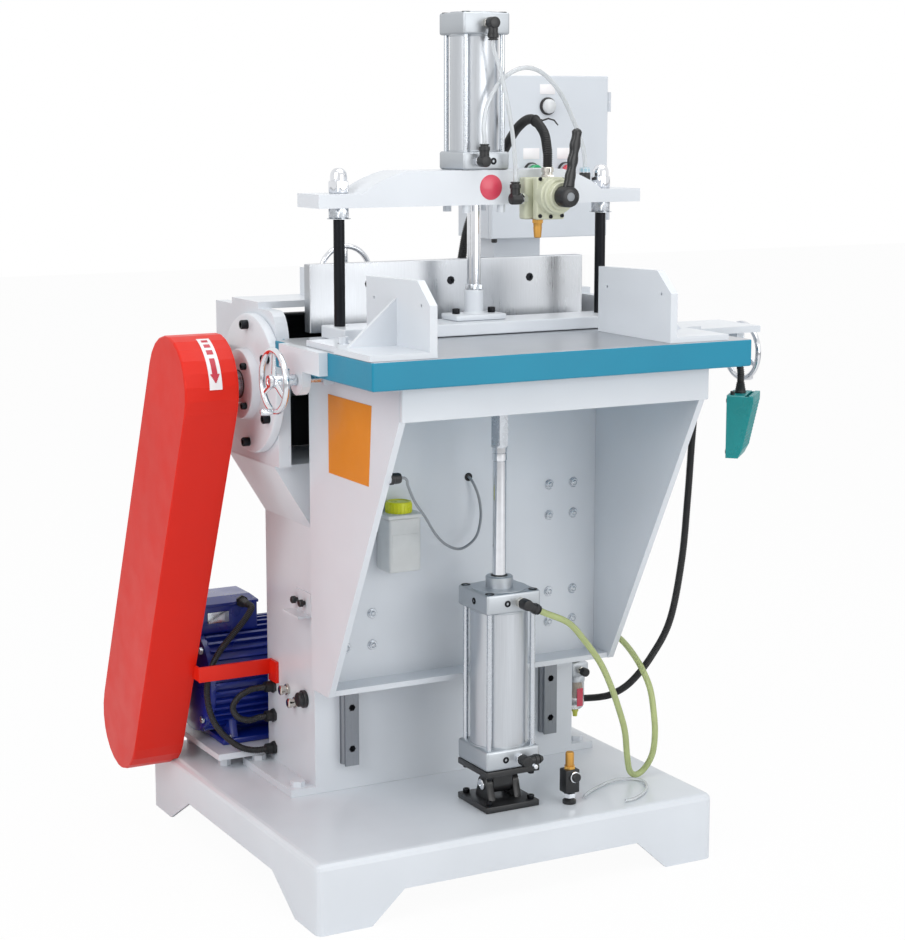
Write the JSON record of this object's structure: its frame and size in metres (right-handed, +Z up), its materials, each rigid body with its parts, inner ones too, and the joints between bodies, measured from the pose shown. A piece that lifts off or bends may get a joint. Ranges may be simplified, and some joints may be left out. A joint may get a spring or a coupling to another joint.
{
  "type": "wood tenoning machine",
  "caption": "Floor-standing wood tenoning machine: air-lifted table with an overhead clamp, adjustable stops and fence, belt-driven cutter spindle and control cabinet.",
  "frame": {"origin": "centre of the footprint, on the floor", "axes": "+Z up, -Y towards the operator's side of the table, +X to the operator's right"},
  "size_m": [1.1068, 0.925, 1.5696],
  "materials": {
    "anodised_aluminium": "clear anodised",
    "belt_rubber": "matt black",
    "black_oxide": "black oxide",
    "black_paint": "satin black",
    "black_plastic": "satin black",
    "blue_paint": "gloss dark blue enamel",
    "bright_steel": "bright plated",
    "clear_plastic": "clear",
    "green_plastic": "green",
    "grey_sheath": "grey",
    "ground_steel": "ground",
    "hose_plastic": "translucent yellow-green",
    "milled_aluminium": "milled",
    "painted_valve_casting": "olive-grey casting",
    "pedal_plastic": "teal",
    "red_paint": "gloss red enamel",
    "red_plastic": "red",
    "teal_paint": "gloss teal enamel with a ground top",
    "white_paint": "semi-gloss cool white enamel"
  },
  "bodies": {
    "frame": {"air_filter": "clear_plastic", "base_frame": "white_paint", "bearing_housing_left": "white_paint", "bearing_housing_right": "white_paint", "belt_guard": "red_paint", "cabinet_box": "white_paint", "cabinet_post": "white_paint", "chip_hood": "black_paint", "clevis_foot": "black_paint", "column": "white_paint", "drive_belt": "belt_rubber", "exhaust_valve": "black_plastic", "guard_back_plate": "red_paint", "guide_rail_left": "ground_steel", "guide_rail_right": "ground_steel", "head_frame": "white_paint", "lift_air_hose": "hose_plastic", "lift_cylinder": "anodised_aluminium", "motor": "blue_paint", "motor_feed_cord": "black_plastic", "motor_plate": "white_paint", "pedal_cord": "black_plastic", "side_loop_cord": "black_plastic", "valve_conduit": "black_plastic"},
    "knee": {"clamp_beam": "white_paint", "clamp_cylinder": "anodised_aluminium", "clamp_stud_left": "black_oxide", "clamp_stud_right": "black_oxide", "clamp_tube_down": "clear_plastic", "clamp_tube_up": "clear_plastic", "hand_valve": "painted_valve_casting", "knee_back_plate": "white_paint", "knee_gussets": "white_paint", "lift_rod": "bright_steel", "oil_tank": "clear_plastic", "pedal_base": "pedal_plastic", "stop_arm_left": "white_paint", "stop_arm_right": "white_paint", "switch_cable": "grey_sheath", "table_plate": "teal_paint"},
    "clamp": {"clamp_foot": "white_paint", "clamp_rod": "bright_steel", "press_bar": "white_paint"},
    "stop_left": {"stop_left": "white_paint"},
    "stop_right": {"stop_right": "white_paint"},
    "handwheel_left": {"handwheel_left": "bright_steel"},
    "handwheel_right": {"handwheel_right": "bright_steel"},
    "spindle": {"cutter_stack": "ground_steel", "spindle_arbor": "bright_steel", "spindle_pulley": "black_oxide"},
    "fence": {"fence_plate": "milled_aluminium"},
    "fence_handwheel": {"fence_handwheel": "bright_steel"},
    "motor_shaft": {"motor_pulley": "black_oxide"},
    "start_button": {"start_button": "green_plastic"},
    "stop_button": {"stop_button": "red_plastic"},
    "cabinet_door": {"cabinet_door": "white_paint"},
    "valve_lever": {"valve_lever": "black_plastic"},
    "pedal_tread": {"pedal_tread": "pedal_plastic"}
  },
  "joints": [
    {"name": "knee_slide", "type": "slide", "parent": "frame", "child": "knee", "axis": [0, 0, 1], "range_m": [-0.2, 0], "deforming": ["valve_conduit", "pedal_cord"]},
    {"name": "clamp_slide", "type": "slide", "parent": "knee", "child": "clamp", "axis": [0, 0, 1], "range_m": [0, 0.12]},
    {"name": "handwheel_left_turn", "type": "hinge", "parent": "knee", "child": "handwheel_left", "pos_m": [-0.4532, -0.19748, 0.9413], "axis": [1, 0, 0], "range_deg": [-1080, 1080]},
    {"name": "stop_left_slide", "type": "slide", "parent": "knee", "child": "stop_left", "axis": [1, 0, 0], "range_m": [-0.0121, 0.0121]},
    {"name": "handwheel_right_turn", "type": "hinge", "parent": "knee", "child": "handwheel_right", "pos_m": [0.5274, -0.19748, 0.9413], "axis": [1, 0, 0], "range_deg": [-1080, 1080]},
    {"name": "stop_right_slide", "type": "slide", "parent": "knee", "child": "stop_right", "axis": [1, 0, 0], "range_m": [-0.0121, 0.0121]},
    {"name": "spindle_turn", "type": "hinge", "parent": "frame", "child": "spindle", "pos_m": [-0.0204, 0.05752, 0.9053], "axis": [1, 0, 0], "continuous": true},
    {"name": "motor_turn", "type": "hinge", "parent": "frame", "child": "motor_shaft", "pos_m": [-0.0204, 0.33252, 0.285], "axis": [1, 0, 0], "continuous": true},
    {"name": "fence_handwheel_turn", "type": "hinge", "parent": "frame", "child": "fence_handwheel", "pos_m": [-0.1204, 0.21652, 1.0856], "axis": [0, 1, 0], "range_deg": [0, 3240]},
    {"name": "fence_slide", "type": "slide", "parent": "frame", "child": "fence", "axis": [0, 1, 0], "range_m": [0, 0.0451]},
    {"name": "cabinet_door_hinge", "type": "hinge", "parent": "frame", "child": "cabinet_door", "pos_m": [0.4956, 0.24052, 1.141], "axis": [0, 0, 1], "range_deg": [0, 110]},
    {"name": "start_button_press", "type": "slide", "parent": "cabinet_door", "child": "start_button", "axis": [0, 1, 0], "range_m": [0, 0.005], "stiffness_N_per_m": 800, "springref_m": -0.002},
    {"name": "stop_button_press", "type": "slide", "parent": "cabinet_door", "child": "stop_button", "axis": [0, 1, 0], "range_m": [0, 0.005], "stiffness_N_per_m": 800, "springref_m": -0.002},
    {"name": "valve_lever_turn", "type": "hinge", "parent": "knee", "child": "valve_lever", "pos_m": [0.0916, -0.24608, 1.2463], "axis": [0, 1, 0], "range_deg": [0, 90]},
    {"name": "pedal_press", "type": "hinge", "parent": "knee", "child": "pedal_tread", "pos_m": [0.4509, -0.31278, 0.775], "axis": [-0.7071, -0.7071, 0], "range_deg": [0, 3], "stiffness_Nm_per_rad": 4, "springref_deg": -1.72}
  ],
  "couplings": [
    {"joint": "stop_left_slide", "follows": "handwheel_left_turn", "m_per_rad": 0.00063662},
    {"joint": "stop_right_slide", "follows": "handwheel_right_turn", "m_per_rad": 0.00063662},
    {"joint": "fence_slide", "follows": "fence_handwheel_turn", "m_per_rad": 0.00079577},
    {"joint": "motor_turn", "follows": "spindle_turn", "ratio": 0.70968}
  ]
}
